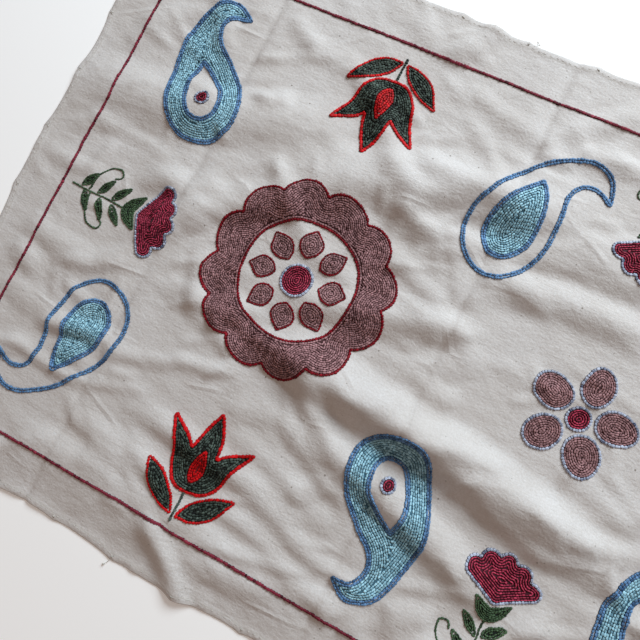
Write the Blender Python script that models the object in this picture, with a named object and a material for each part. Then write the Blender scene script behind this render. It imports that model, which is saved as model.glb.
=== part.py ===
"""An embroidered cotton wall hanging, lying loosely face up on a flat surface.

The cloth is one piece: a long rectangle of calico with a narrow turned hem. Its underside touches the
surface at z = 0, and rises off it in soft folds that run mostly along the cloth. Metres, +Z up, +Y towards
the top edge, origin on the surface under the middle of the cloth.
"""

import math
from collections import namedtuple

import bmesh
import bpy
from mathutils import Vector

# Driving sizes of the cut cloth
CLOTH_WIDTH = 1.00
CLOTH_HEIGHT = 0.52
CLOTH_THICKNESS = 0.0012
HEM_WIDTH = 0.0048
HEM_STEP = 0.0012
HEM_THICKNESS = 0.0015

# Spacing of the grid of cloth between the hems
STEP_ALONG = 0.0148
STEP_ACROSS = 0.0098

# The hem's outline: a slow wave, and the points where the lacing of the frame once pulled it out
EDGE_WAVE = 0.0016
EDGE_WAVE_LENGTH = 0.21
EDGE_FADE = 0.05
PULL_SPACING = 0.058
PULL_DEPTH = 0.0022

# One row is one fold: a soft ridge along a curve from start past bend to end. lean above 0 makes the
# side to the left of that curve the wider and gentler one.
Fold = namedtuple("Fold", "name start bend end half_width height lean")
FOLDS = (
    Fold("upper_left", (-0.530, 0.083), (-0.360, 0.086), (-0.240, 0.142), 0.033, 0.0074, -0.05),
    Fold("upper_middle", (-0.310, 0.045), (-0.200, 0.135), (-0.010, 0.134), 0.034, 0.0098, 0.15),
    Fold("upper_cross", (-0.262, 0.192), (-0.235, 0.150), (-0.185, 0.104), 0.017, 0.0035, 0.00),
    Fold("left_hook", (-0.375, -0.045), (-0.345, 0.050), (-0.225, 0.062), 0.024, 0.0070, 0.15),
    Fold("main", (-0.265, -0.055), (-0.120, -0.058), (0.110, -0.100), 0.027, 0.0138, 0.15),
    Fold("below_middle", (-0.208, -0.096), (-0.165, -0.116), (-0.105, -0.142), 0.014, 0.0038, 0.10),
    Fold("low_middle", (-0.330, -0.150), (-0.230, -0.148), (-0.118, -0.176), 0.015, 0.0042, 0.10),
    Fold("under_main", (-0.175, -0.096), (-0.075, -0.122), (0.020, -0.158), 0.021, 0.0080, 0.10),
    Fold("middle_low", (-0.262, -0.020), (-0.165, 0.006), (-0.070, 0.026), 0.019, 0.0058, 0.00),
    Fold("lower_left", (-0.365, -0.172), (-0.290, -0.192), (-0.215, -0.188), 0.016, 0.0040, 0.00),
    Fold("hem_dart", (-0.265, -0.214), (-0.225, -0.234), (-0.190, -0.275), 0.013, 0.0065, -0.20),
    Fold("lower_line", (-0.430, -0.210), (-0.270, -0.206), (-0.080, -0.216), 0.029, 0.0048, -0.40),
    Fold("upper_right", (-0.110, 0.060), (-0.045, 0.084), (0.045, 0.070), 0.019, 0.0054, 0.00),
    Fold("right_edge", (-0.105, 0.092), (-0.045, 0.112), (0.035, 0.106), 0.017, 0.0044, 0.00),
    Fold("left_corner", (-0.475, 0.140), (-0.445, 0.166), (-0.385, 0.196), 0.017, 0.0032, 0.00),
    Fold("left_low", (-0.430, -0.082), (-0.400, -0.058), (-0.365, -0.034), 0.014, 0.0032, 0.00),
    Fold("top_hem", (-0.215, 0.214), (-0.180, 0.240), (-0.176, 0.275), 0.016, 0.0045, 0.00),
    Fold("right_rise", (0.110, 0.016), (0.230, 0.045), (0.335, 0.135), 0.027, 0.0085, 0.15),
    Fold("right_main", (0.150, -0.104), (0.300, -0.078), (0.530, -0.124), 0.027, 0.0105, 0.15),
    Fold("right_top", (0.030, 0.196), (0.160, 0.166), (0.280, 0.205), 0.022, 0.0060, 0.10),
    Fold("right_middle", (0.315, -0.026), (0.390, -0.004), (0.475, 0.050), 0.020, 0.0050, 0.00),
    Fold("right_low", (0.120, -0.196), (0.225, -0.218), (0.345, -0.200), 0.018, 0.0050, 0.10),
    Fold("right_hem", (0.360, 0.160), (0.398, 0.200), (0.428, 0.275), 0.020, 0.0065, 0.00),
)
SPINE_SAMPLES = 48
END_TAPER = 0.28

COTTON_COLOUR = (0.59, 0.55, 0.50, 1.0)
COTTON_ROUGHNESS = 0.93


def clear_scene():
    for thing in list(bpy.data.objects):
        bpy.data.objects.remove(thing)


def smooth_step(value):
    value = min(1.0, max(0.0, value))
    return value * value * (3 - 2 * value)


def spine_point(fold, t):
    """The point at share t of a fold's curve."""
    start, bend, end = Vector(fold.start), Vector(fold.bend), Vector(fold.end)
    return start * (1 - t) ** 2 + bend * 2 * t * (1 - t) + end * t**2


def spine_of(fold):
    """Points along the fold, each with the direction of the curve there."""
    points = [spine_point(fold, k / SPINE_SAMPLES) for k in range(SPINE_SAMPLES + 1)]
    ahead = points[1:] + points[-1:]
    behind = points[:1] + points[:-1]
    ways = [(b - a).normalized() for a, b in zip(behind, ahead)]
    return list(zip(points, ways))


SPINES = {fold.name: spine_of(fold) for fold in FOLDS}


def fold_height(fold, place):
    """How far one fold lifts the cloth at place."""
    spine = SPINES[fold.name]
    nearest = min(range(len(spine)), key=lambda k: (place - spine[k][0]).length_squared)
    point, way = spine[nearest]
    across = way.cross(place - point)
    side = 1 if across > 0 else -1
    half_width = fold.half_width * (1 + fold.lean * side)
    reach = min(1.0, abs(across) / half_width)
    along = nearest / SPINE_SAMPLES
    taper = smooth_step(along / END_TAPER) * smooth_step((1 - along) / END_TAPER)
    return fold.height * taper * (1 - reach**2) ** 2


def lift(x, y):
    """Height of the cloth's underside above the surface."""
    place = Vector((x, y))
    return sum(fold_height(fold, place) for fold in FOLDS)


def edge_shift(along):
    """How far the hem's outline stands out at a place along it: a slow wave and the pulled points."""
    waves = along / EDGE_WAVE_LENGTH
    wave = math.sin(2 * math.pi * waves) + 0.5 * math.sin(5.3 * waves + 1)
    between = abs((along / PULL_SPACING) % 1.0 - 0.5) * 2
    return EDGE_WAVE * wave + PULL_DEPTH * (between**4 - 0.5)


def hem_fade(distance):
    """1 on the hem, 0 well inside the cloth."""
    return 1 - smooth_step(distance / EDGE_FADE)


def lay_out(u, v):
    """Where the point (u, v) of the flat cut lies, seen from above."""
    half_width, half_height = CLOTH_WIDTH / 2, CLOTH_HEIGHT / 2
    x = u + math.copysign(edge_shift(v + half_height), u) * hem_fade(half_width - abs(u))
    y = v + math.copysign(edge_shift(u + half_width), v) * hem_fade(half_height - abs(v))
    return x, y


def stations(length, step):
    """Grid lines from edge to edge: the hem's own lines, and an even spacing between them."""
    inner = length / 2 - HEM_WIDTH - HEM_STEP
    count = round(2 * inner / step)
    even = [-inner + 2 * inner * k / count for k in range(count + 1)]
    hem_lines = [length / 2, length / 2 - HEM_WIDTH]
    return [-line for line in hem_lines] + even + hem_lines[::-1]


def cotton():
    material = bpy.data.materials.new("cotton")
    material.use_nodes = True
    shader = material.node_tree.nodes["Principled BSDF"]
    shader.inputs["Base Color"].default_value = COTTON_COLOUR
    shader.inputs["Roughness"].default_value = COTTON_ROUGHNESS
    shader.inputs["Metallic"].default_value = 0.0
    return material


def hem_shares(lines, length):
    """For each grid line, 1 if it lies in the hem and 0 if not."""
    return [1.0 if abs(line) > length / 2 - HEM_WIDTH - HEM_STEP / 2 else 0.0 for line in lines]


def make_cloth():
    """The cloth: a grid laid in folds is its underside, and is thickened upwards, more at the hem."""
    lines_u = stations(CLOTH_WIDTH, STEP_ALONG)
    lines_v = stations(CLOTH_HEIGHT, STEP_ACROSS)
    hem_u = hem_shares(lines_u, CLOTH_WIDTH)
    hem_v = hem_shares(lines_v, CLOTH_HEIGHT)
    segments_u, segments_v = len(lines_u) - 1, len(lines_v) - 1

    mesh = bpy.data.meshes.new("cloth")
    grid = bmesh.new()
    bmesh.ops.create_grid(grid, x_segments=segments_u, y_segments=segments_v, size=1.0)
    thickness_share = {}
    for vert in grid.verts:
        column = round((vert.co.x + 1) / 2 * segments_u)
        row = round((vert.co.y + 1) / 2 * segments_v)
        x, y = lay_out(lines_u[column], lines_v[row])
        vert.co = (x, y, lift(x, y))
        in_hem = max(hem_u[column], hem_v[row])
        thickness_share[vert.index] = in_hem + (1 - in_hem) * CLOTH_THICKNESS / HEM_THICKNESS
    grid.to_mesh(mesh)
    grid.free()

    cloth = bpy.data.objects.new("cloth", mesh)
    bpy.context.scene.collection.objects.link(cloth)
    cloth.data.materials.append(cotton())
    cloth.data.shade_smooth()
    thickness = cloth.vertex_groups.new(name="thickness")
    for index, share in thickness_share.items():
        thickness.add([index], share, "REPLACE")
    solid = cloth.modifiers.new("thickness", "SOLIDIFY")
    solid.thickness = HEM_THICKNESS
    solid.offset = 1.0
    solid.vertex_group = thickness.name
    solid.use_rim = True
    return cloth


clear_scene()
make_cloth()
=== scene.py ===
# %% [markdown]
# # An embroidered cotton wall hanging
#
# The real thing is a long rectangle of unbleached calico, hemmed by hand and worked in chain stitch. It
# lies face up on a table, in the soft folds that it keeps from the day it was last folded away. This
# lesson dresses the plain solid of that cloth: it builds a finer sheet on the same folds, then sews every
# stitch as a small mesh.

# %% Modules and the shared frame
import math
from collections import namedtuple

import bpy
import numpy as np
from mathutils import Matrix, Vector


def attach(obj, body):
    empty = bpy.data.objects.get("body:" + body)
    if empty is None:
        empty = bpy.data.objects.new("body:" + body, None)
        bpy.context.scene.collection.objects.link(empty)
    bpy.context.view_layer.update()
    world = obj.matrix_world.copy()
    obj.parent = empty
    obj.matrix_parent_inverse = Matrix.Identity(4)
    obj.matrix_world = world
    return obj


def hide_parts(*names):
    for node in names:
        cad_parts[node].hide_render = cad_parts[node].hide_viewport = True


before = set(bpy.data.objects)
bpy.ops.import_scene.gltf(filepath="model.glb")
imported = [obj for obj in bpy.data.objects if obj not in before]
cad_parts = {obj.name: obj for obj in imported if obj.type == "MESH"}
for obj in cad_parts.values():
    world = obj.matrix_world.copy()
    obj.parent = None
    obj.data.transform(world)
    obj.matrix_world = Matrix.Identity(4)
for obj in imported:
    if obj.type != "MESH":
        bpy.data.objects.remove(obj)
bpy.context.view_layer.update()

# %% [markdown]
# ## The camera
#
# The picture was taken from just above the left half of the cloth, almost straight down, with the camera
# turned so that the cloth runs downhill to the right. A camera is a position, a direction and an up
# direction, so the rotation is written as a matrix of those three axes instead of guessed angles.

# %% Camera
CAMERA_AT = Vector((-0.1517, -0.0371, 0.3806))
CAMERA_AHEAD = Vector((-0.1358, 0.0485, -0.9896)).normalized()
CAMERA_UP = Vector((-0.4373, 0.8933, 0.1038)).normalized()
LENS_MM, SENSOR_MM = 27.06, 36.0

camera_right = CAMERA_AHEAD.cross(CAMERA_UP).normalized()
camera_turn = Matrix((camera_right, camera_right.cross(CAMERA_AHEAD), -CAMERA_AHEAD)).transposed()
camera = bpy.data.objects.new("camera", bpy.data.cameras.new("camera"))
camera.matrix_world = Matrix.Translation(CAMERA_AT) @ camera_turn.to_4x4()
camera.data.lens, camera.data.sensor_width = LENS_MM, SENSOR_MM
camera.data.clip_start = 0.01
bpy.context.scene.collection.objects.link(camera)
bpy.context.scene.camera = camera

# %% [markdown]
# ## The folds
#
# Loose cloth on a table rises in long soft ridges with flat cloth between them. One row of the table is
# one ridge: a curve from start past bend to end, how far it reaches to each side, how high it stands and
# how much wider its left side is. The solid was made from this same table, so sheet and solid agree.

# %% Sizes of the cut cloth
MM = 0.001
CLOTH_WIDTH, CLOTH_HEIGHT = 1.00, 0.52
CLOTH_THICKNESS = 0.0012
HEM_WIDTH, HEM_STEP, HEM_THICKNESS = 0.0048, 0.0012, 0.0015
EDGE_WAVE, EDGE_WAVE_LENGTH, EDGE_FADE = 0.0016, 0.21, 0.05
PULL_SPACING, PULL_DEPTH = 0.058, 0.0022
SPINE_SAMPLES, END_TAPER = 48, 0.28

Fold = namedtuple("Fold", "name start bend end half_width height lean")
FOLDS = (
    Fold("upper_left", (-0.530, 0.083), (-0.360, 0.086), (-0.240, 0.142), 0.033, 0.0074, -0.05),
    Fold("upper_middle", (-0.310, 0.045), (-0.200, 0.135), (-0.010, 0.134), 0.034, 0.0098, 0.15),
    Fold("upper_cross", (-0.262, 0.192), (-0.235, 0.150), (-0.185, 0.104), 0.017, 0.0035, 0.00),
    Fold("left_hook", (-0.375, -0.045), (-0.345, 0.050), (-0.225, 0.062), 0.024, 0.0070, 0.15),
    Fold("main", (-0.265, -0.055), (-0.120, -0.058), (0.110, -0.100), 0.027, 0.0138, 0.15),
    Fold("below_middle", (-0.208, -0.096), (-0.165, -0.116), (-0.105, -0.142), 0.014, 0.0038, 0.10),
    Fold("low_middle", (-0.330, -0.150), (-0.230, -0.148), (-0.118, -0.176), 0.015, 0.0042, 0.10),
    Fold("under_main", (-0.175, -0.096), (-0.075, -0.122), (0.020, -0.158), 0.021, 0.0080, 0.10),
    Fold("middle_low", (-0.262, -0.020), (-0.165, 0.006), (-0.070, 0.026), 0.019, 0.0058, 0.00),
    Fold("lower_left", (-0.365, -0.172), (-0.290, -0.192), (-0.215, -0.188), 0.016, 0.0040, 0.00),
    Fold("hem_dart", (-0.265, -0.214), (-0.225, -0.234), (-0.190, -0.275), 0.013, 0.0065, -0.20),
    Fold("lower_line", (-0.430, -0.210), (-0.270, -0.206), (-0.080, -0.216), 0.029, 0.0048, -0.40),
    Fold("upper_right", (-0.110, 0.060), (-0.045, 0.084), (0.045, 0.070), 0.019, 0.0054, 0.00),
    Fold("right_edge", (-0.105, 0.092), (-0.045, 0.112), (0.035, 0.106), 0.017, 0.0044, 0.00),
    Fold("left_corner", (-0.475, 0.140), (-0.445, 0.166), (-0.385, 0.196), 0.017, 0.0032, 0.00),
    Fold("left_low", (-0.430, -0.082), (-0.400, -0.058), (-0.365, -0.034), 0.014, 0.0032, 0.00),
    Fold("top_hem", (-0.215, 0.214), (-0.180, 0.240), (-0.176, 0.275), 0.016, 0.0045, 0.00),
    Fold("right_rise", (0.110, 0.016), (0.230, 0.045), (0.335, 0.135), 0.027, 0.0085, 0.15),
    Fold("right_main", (0.150, -0.104), (0.300, -0.078), (0.530, -0.124), 0.027, 0.0105, 0.15),
    Fold("right_top", (0.030, 0.196), (0.160, 0.166), (0.280, 0.205), 0.022, 0.0060, 0.10),
    Fold("right_middle", (0.315, -0.026), (0.390, -0.004), (0.475, 0.050), 0.020, 0.0050, 0.00),
    Fold("right_low", (0.120, -0.196), (0.225, -0.218), (0.345, -0.200), 0.018, 0.0050, 0.10),
    Fold("right_hem", (0.360, 0.160), (0.398, 0.200), (0.428, 0.275), 0.020, 0.0065, 0.00),
)


def smooth_step(value):
    value = np.clip(value, 0, 1)
    return value * value * (3 - 2 * value)


def ridge_height(fold, places):
    """How far one fold lifts the cloth at each of many places."""
    t = np.linspace(0, 1, SPINE_SAMPLES + 1)[:, None]
    start, bend, end = (np.array(point) for point in (fold.start, fold.bend, fold.end))
    spine = start * (1 - t) ** 2 + bend * 2 * t * (1 - t) + end * t**2
    ways = np.gradient(spine, axis=0)
    ways /= np.linalg.norm(ways, axis=1, keepdims=True)

    widest = fold.half_width * (1 + abs(fold.lean))
    near = np.all((places > spine.min(0) - widest) & (places < spine.max(0) + widest), axis=1)
    here = places[near]
    nearest = ((here[:, None] - spine) ** 2).sum(2).argmin(1)
    aside, way = here - spine[nearest], ways[nearest]
    across = way[:, 0] * aside[:, 1] - way[:, 1] * aside[:, 0]
    reach = np.minimum(1, np.abs(across) / (fold.half_width * (1 + fold.lean * np.sign(across))))
    share = nearest / SPINE_SAMPLES
    taper = smooth_step(share / END_TAPER) * smooth_step((1 - share) / END_TAPER)

    heights = np.zeros(len(places))
    heights[near] = fold.height * taper * (1 - reach**2) ** 2
    return heights


# %% [markdown]
# ## Small unevenness
#
# Calico that has been handled is never flat between its folds. The needle also draws the cloth together,
# so short puckers run out from each piece of embroidery. Both are ridges as well, only smaller and
# shorter, and a seeded random generator lays them, mostly along the length of the cloth as the real ones
# lie.

# %% Small ridges
rng = np.random.default_rng(28)
RIDGE_BOW = 0.3


def short_ridge(middle, length, turn, half_width, height):
    """A nearly straight ridge through the point middle."""
    ahead = np.array((math.cos(turn), math.sin(turn))) * length / 2
    bow = np.array((-ahead[1], ahead[0])) * rng.uniform(-RIDGE_BOW, RIDGE_BOW)
    middle = np.array(middle)
    return Fold("small", middle - ahead, middle + bow, middle + ahead, half_width, height, 0.0)


UPPER_HANDLING, MORE_BELOW, MORE_BELOW_OVER = 1.42, 0.85, 0.09
CALM_SHARE, CALM_HEM, CALM_FADE = 0.40, 0.012, 0.065


def crumpled(x, y):
    """How much the cloth has been handled there: most in its lower half, least beside the hems."""
    handling = UPPER_HANDLING + MORE_BELOW * smooth_step(-y / MORE_BELOW_OVER)
    from_hem = min(CLOTH_WIDTH / 2 - abs(x), CLOTH_HEIGHT / 2 - abs(y))
    return handling * (CALM_SHARE + (1 - CALM_SHARE) * smooth_step((from_hem - CALM_HEM) / CALM_FADE))


LOOSE_RIDGES, RIDGE_AREA = 300, (0.49, 0.25)
RIDGE_LENGTHS, RIDGE_HALF_WIDTHS, RIDGE_SLOPES = (0.035, 0.12), (0.0062, 0.0165), (0.05, 0.17)
RIDGE_TURN, RIDGE_TURN_SPREAD = -0.05, 0.42
small_ridges = []
for _ in range(LOOSE_RIDGES):
    x, y = (rng.uniform(-reach, reach) for reach in RIDGE_AREA)
    half_width = rng.uniform(*RIDGE_HALF_WIDTHS)
    small_ridges.append(
        short_ridge(
            middle=(x, y),
            length=rng.uniform(*RIDGE_LENGTHS),
            turn=rng.normal(RIDGE_TURN, RIDGE_TURN_SPREAD),
            half_width=half_width,
            height=half_width * rng.uniform(*RIDGE_SLOPES) * crumpled(x, y),
        )
    )

# %% [markdown]
# ## Pressed creases
#
# The hanging was stored folded up, which pressed straight lines across it, a quarter of its length apart,
# and two short slanting ones. A pressed crease is a shallow groove, sharp at the bottom. One wall is
# steeper than the other, because the cloth wants to lie on the side that it was folded to.

# %% Creases
Crease = namedtuple("Crease", "start end left right height")
CREASES = (
    Crease((-0.110, -0.270), (-0.110, 0.270), 0.014, 0.0072, 0.0021),
    Crease((-0.355, -0.270), (-0.355, 0.270), 0.014, 0.0080, 0.0016),
    Crease((0.135, -0.270), (0.135, 0.270), 0.014, 0.0072, 0.0018),
    Crease((0.380, -0.270), (0.380, 0.270), 0.014, 0.0080, 0.0016),
    Crease((-0.115, 0.032), (-0.152, 0.094), 0.010, 0.0060, 0.0014),
    Crease((-0.115, 0.036), (-0.092, 0.100), 0.010, 0.0060, 0.0012),
)
SWELL, CREASE_END = 0.030, 0.012
UNEVEN_SHARE, UNEVEN_WAVE, UNEVEN_START = 0.2, 43, 50


def crease_height(crease, places):
    """A groove between two low swells. Left and right are as seen from its start."""
    start, end = np.array(crease.start), np.array(crease.end)
    length = np.linalg.norm(end - start)
    way = (end - start) / length
    away = places - start
    along, aside = away @ way, away[:, 0] * way[1] - away[:, 1] * way[0]
    width = np.where(aside > 0, crease.right, crease.left)
    wall = 1 - (1 - np.minimum(np.abs(aside) / width, 1)) ** 2
    swell = 1 - smooth_step((np.abs(aside) - width) / SWELL)
    ends = smooth_step(along / CREASE_END) * smooth_step((length - along) / CREASE_END)
    uneven = 1 - UNEVEN_SHARE + UNEVEN_SHARE * np.sin(along * UNEVEN_WAVE + start[0] * UNEVEN_START)
    return crease.height * wall * swell * ends * uneven


# %% [markdown]
# ## Where each motif goes
#
# The field holds a plain, traditional arrangement of single motifs on open ground: rosettes, almond
# shapes, tulips, carnations and a flower of ovals. One row places one motif. The list comes before the
# cloth because the needle's puckers in the cloth depend on it.

# %% The layout of the field
Place = namedtuple("Place", "motif x y turn size")
LEFT_HALF = (
    Place("rosette", -0.235, 0.002, 4, 1.00),
    Place("almond", -0.387, 0.128, 24, 1.00),
    Place("almond_line", -0.386, -0.130, 158, 1.00),
    Place("almond_line", -0.094, 0.130, -22, 1.00),
    Place("almond", -0.092, -0.130, 202, 1.00),
    Place("tulip", -0.236, 0.208, 180, 1.00),
    Place("tulip", -0.238, -0.209, 0, 1.00),
    Place("carnation", -0.452, -0.006, -90, 1.00),
)
MIDDLE = (
    Place("oval_flower", 0.002, 0.000, 10, 1.00),
    Place("carnation", 0.000, 0.212, 180, 0.95),
    Place("carnation", 0.001, -0.212, 0, 0.95),
)
RIGHT_HALF = tuple(row._replace(x=-row.x, turn=-row.turn) for row in LEFT_HALF)
LAYOUT = LEFT_HALF + MIDDLE + RIGHT_HALF
print("motifs", len(LAYOUT))

# %% Puckers round the embroidery
Puckers = namedtuple("Puckers", "reach count")
PUCKERS_OF = {
    "rosette": Puckers(0.088, 20),
    "almond": Puckers(0.052, 8),
    "almond_line": Puckers(0.052, 5),
    "tulip": Puckers(0.045, 7),
}
OTHER_PUCKERS = Puckers(0.032, 4)
PUCKER_SCATTER, PUCKER_OUTSIDE, PUCKER_TURN_SPREAD = 0.3, 1.08, 0.4
PUCKER_LENGTHS, PUCKER_HALF_WIDTHS, PUCKER_HEIGHTS = (0.024, 0.044), (0.0050, 0.0075), (0.0006, 0.0018)
for row in LAYOUT:
    reach, count = PUCKERS_OF.get(row.motif, OTHER_PUCKERS)
    for k in range(count):
        angle = 2 * math.pi * (k + rng.uniform(-PUCKER_SCATTER, PUCKER_SCATTER)) / count
        x = row.x + reach * math.cos(angle) * PUCKER_OUTSIDE
        y = row.y + reach * math.sin(angle) * PUCKER_OUTSIDE
        small_ridges.append(
            short_ridge(
                middle=(x, y),
                length=rng.uniform(*PUCKER_LENGTHS),
                turn=angle + rng.normal(0, PUCKER_TURN_SPREAD),
                half_width=rng.uniform(*PUCKER_HALF_WIDTHS),
                height=rng.uniform(*PUCKER_HEIGHTS),
            )
        )
print("small ridges", len(small_ridges))

# %% [markdown]
# ## The sheet
#
# The sheet is two grids of points, the face and the underside, joined round the rim. Grid lines are
# closer at the hem and at the pressed creases, where the form turns sharply. The cloth is thinner than
# its solid, which also stands for the thread on the back, so the underside stays a little above the
# table.

# %% Grid lines
CELL = 0.00345
HEM_ROUND = 0.0010
CREASE_LINES = (-0.0030, 0.0, 0.0020, 0.0045)
CREASE_CLEARANCE = CELL * 0.35


def grid_lines(length, creases=()):
    """Grid lines from edge to edge: the hem's own lines, the creases' and an even spacing between them."""
    hem = [length / 2, length / 2 - HEM_ROUND, length / 2 - HEM_WIDTH, length / 2 - HEM_WIDTH - HEM_STEP]
    inner = hem[-1]
    even = np.linspace(-inner, inner, round(2 * inner / CELL) + 1)
    sharp = np.array([crease + shift for crease in creases for shift in CREASE_LINES])
    if len(sharp):
        even = even[np.abs(even[:, None] - sharp).min(1) > CREASE_CLEARANCE]
    return np.unique(np.concatenate([even, sharp, hem[:-1], [-line for line in hem[:-1]]]))


straight_across = [crease.start[0] for crease in CREASES if crease.start[0] == crease.end[0]]
lines_u = grid_lines(CLOTH_WIDTH, straight_across)
lines_v = grid_lines(CLOTH_HEIGHT)
print("grid lines", len(lines_u), len(lines_v))

# %% The outline of the hem


def edge_shift(along):
    """How far the hem's outline stands out at a place along it: a slow wave and the pulled points."""
    waves = along / EDGE_WAVE_LENGTH
    wave = np.sin(2 * math.pi * waves) + 0.5 * np.sin(5.3 * waves + 1)
    between = np.abs((along / PULL_SPACING) % 1.0 - 0.5) * 2
    return EDGE_WAVE * wave + PULL_DEPTH * (between**4 - 0.5)


def lay_out(u, v):
    """Where the points (u, v) of the flat cut lie, seen from above."""
    half_width, half_height = CLOTH_WIDTH / 2, CLOTH_HEIGHT / 2
    fade_u = 1 - smooth_step((half_width - np.abs(u)) / EDGE_FADE)
    fade_v = 1 - smooth_step((half_height - np.abs(v)) / EDGE_FADE)
    x = u + np.sign(u) * edge_shift(v + half_height) * fade_u
    y = v + np.sign(v) * edge_shift(u + half_width) * fade_v
    return x, y


# %% Heights of the face and the underside
UNDER_GAP, RIM_DROP, RIM_LIFT = 0.0004, 0.0005, 0.0003

grid_u, grid_v = np.meshgrid(lines_u, lines_v, indexing="ij")
grid_x, grid_y = lay_out(grid_u, grid_v)
places = np.stack([grid_x.ravel(), grid_y.ravel()], axis=1)
rise = sum(ridge_height(fold, places) for fold in FOLDS)
rise += sum(ridge_height(fold, places) for fold in small_ridges)
rise += sum(crease_height(crease, places) for crease in CREASES)
rise = rise.reshape(grid_x.shape)

inset = np.minimum(CLOTH_WIDTH / 2 - np.abs(grid_u), CLOTH_HEIGHT / 2 - np.abs(grid_v))
in_hem = np.clip((HEM_WIDTH + HEM_STEP - inset) / HEM_STEP, 0, 1)
on_rim = np.clip(1 - inset / HEM_ROUND, 0, 1)
thickness = CLOTH_THICKNESS + (HEM_THICKNESS - CLOTH_THICKNESS) * in_hem
face_z = rise + thickness - RIM_DROP * on_rim
under_z = rise + UNDER_GAP * (1 - in_hem) + RIM_LIFT * on_rim
face = np.stack([grid_x, grid_y, face_z], axis=2)
under = np.stack([grid_x, grid_y, under_z], axis=2)
print("highest point of the cloth", round(float(face_z.max()), 4))

# %% Mesh helper
FIELD_OF = {"FLOAT": "value", "FLOAT_COLOR": "color"}


def mesh_piece(name, points, triangles, material, attributes=()):
    """An object from arrays of points and triangles, smooth, with its named values for each point."""
    mesh = bpy.data.meshes.new(name)
    mesh.vertices.add(len(points))
    mesh.vertices.foreach_set("co", np.asarray(points, np.float32).ravel())
    mesh.loops.add(3 * len(triangles))
    mesh.loops.foreach_set("vertex_index", np.asarray(triangles, np.int32).ravel())
    mesh.polygons.add(len(triangles))
    mesh.polygons.foreach_set("loop_start", np.arange(0, 3 * len(triangles), 3, dtype=np.int32))
    mesh.update(calc_edges=True)
    for label, kind, values in attributes:
        layer = mesh.attributes.new(label, kind, "POINT")
        layer.data.foreach_set(FIELD_OF[kind], np.asarray(values, np.float32).ravel())
    mesh.shade_smooth()
    mesh.materials.append(material)
    piece = bpy.data.objects.new(name, mesh)
    bpy.context.scene.collection.objects.link(piece)
    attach(piece, "root")
    return piece


# %% [markdown]
# ## Shader maths as sums
#
# A material is a graph of nodes, but a sum is easier to read than a graph. This class wraps one output
# socket, so `1 - mask` or `crest * 0.6 + tint` adds the Math nodes that it needs. Everything that is not
# arithmetic comes from its one method `node`.

# %% Wires


class Wire:
    """One output socket. Arithmetic with it adds Math nodes."""

    def __init__(self, socket):
        self.socket = socket

    @staticmethod
    def node(tree, kind, settings=None, inputs=None, out=0):
        """A new node of that kind: its settings first, then the values or links of its sockets."""
        made = tree.nodes.new(kind)
        for label, value in (settings or {}).items():
            setattr(made, label, value)
        for label, value in (inputs or {}).items():
            if isinstance(value, Wire):
                tree.links.new(value.socket, made.inputs[label])
            else:
                made.inputs[label].default_value = value
        return Wire(made.outputs[out])

    def math(self, operation, first, second=0.0, clamp=False):
        tree = self.socket.id_data
        settings = {"operation": operation, "use_clamp": clamp}
        return Wire.node(tree, "ShaderNodeMath", settings, {0: first, 1: second})

    def __add__(self, other):
        return self.math("ADD", self, other)

    def __sub__(self, other):
        return self.math("SUBTRACT", self, other)

    def __rsub__(self, other):
        return self.math("SUBTRACT", other, self)

    def __mul__(self, other):
        return self.math("MULTIPLY", self, other)

    def __truediv__(self, other):
        return self.math("DIVIDE", self, other)

    def __gt__(self, other):
        return self.math("GREATER_THAN", self, other)

    def __lt__(self, other):
        return self.math("LESS_THAN", self, other)

    __radd__ = __add__
    __rmul__ = __mul__

    def clamped(self):
        return self.math("ADD", self, 0.0, clamp=True)

    def sine(self):
        return self.math("SINE", self)

    def size(self):
        return self.math("ABSOLUTE", self)


# %% Material helpers


def new_material(name, **constants):
    """A material with its Principled shader, whose constant sockets are set directly."""
    material = bpy.data.materials.new(name)
    material.use_nodes = True
    shader = material.node_tree.nodes["Principled BSDF"]
    for label, value in constants.items():
        shader.inputs[label.replace("_", " ")].default_value = value
    return material, material.node_tree, shader


def mix(tree, factor, first, second):
    """A mix of two colours."""
    settings = {"data_type": "RGBA", "clamp_factor": True}
    return Wire.node(tree, "ShaderNodeMix", settings, {0: factor, 6: first, 7: second}, out=2)


def coordinates(tree):
    """The place of a point of the surface, and how far along and across the cloth it is."""
    place = Wire.node(tree, "ShaderNodeTexCoord", out="Object")
    parts = [Wire.node(tree, "ShaderNodeSeparateXYZ", {}, {"Vector": place}, out=axis) for axis in "XY"]
    return place, *parts


def noise(tree, place, scale, detail=2.0, roughness=0.5):
    inputs = {"Vector": place, "Scale": scale, "Detail": detail, "Roughness": roughness}
    return Wire.node(tree, "ShaderNodeTexNoise", {}, inputs, out="Fac")


def cells(tree, place, scale, **settings):
    """How far a place is from the nearest of scattered points, or from the lines between their cells."""
    inputs = {"Vector": place, "Scale": scale}
    return Wire.node(tree, "ShaderNodeTexVoronoi", settings, inputs, out="Distance")


def stretched(tree, place, scale):
    """The same place in a frame stretched by scale, for streaks along one direction."""
    inputs = {"Vector": place, "Scale": scale}
    return Wire.node(tree, "ShaderNodeMapping", {"vector_type": "POINT"}, inputs)


def point_value(tree, label, out="Fac"):
    """A named value that the mesh carries for each point."""
    return Wire.node(tree, "ShaderNodeAttribute", {"attribute_name": label}, {}, out=out)


def bump(tree, height, distance, strength=1.0, under=None):
    inputs = {"Height": height, "Distance": distance, "Strength": strength}
    if under is not None:
        inputs["Normal"] = under
    return Wire.node(tree, "ShaderNodeBump", {}, inputs)


def plug(tree, wire, shader, label):
    tree.links.new(wire.socket, shader.inputs[label])


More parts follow.
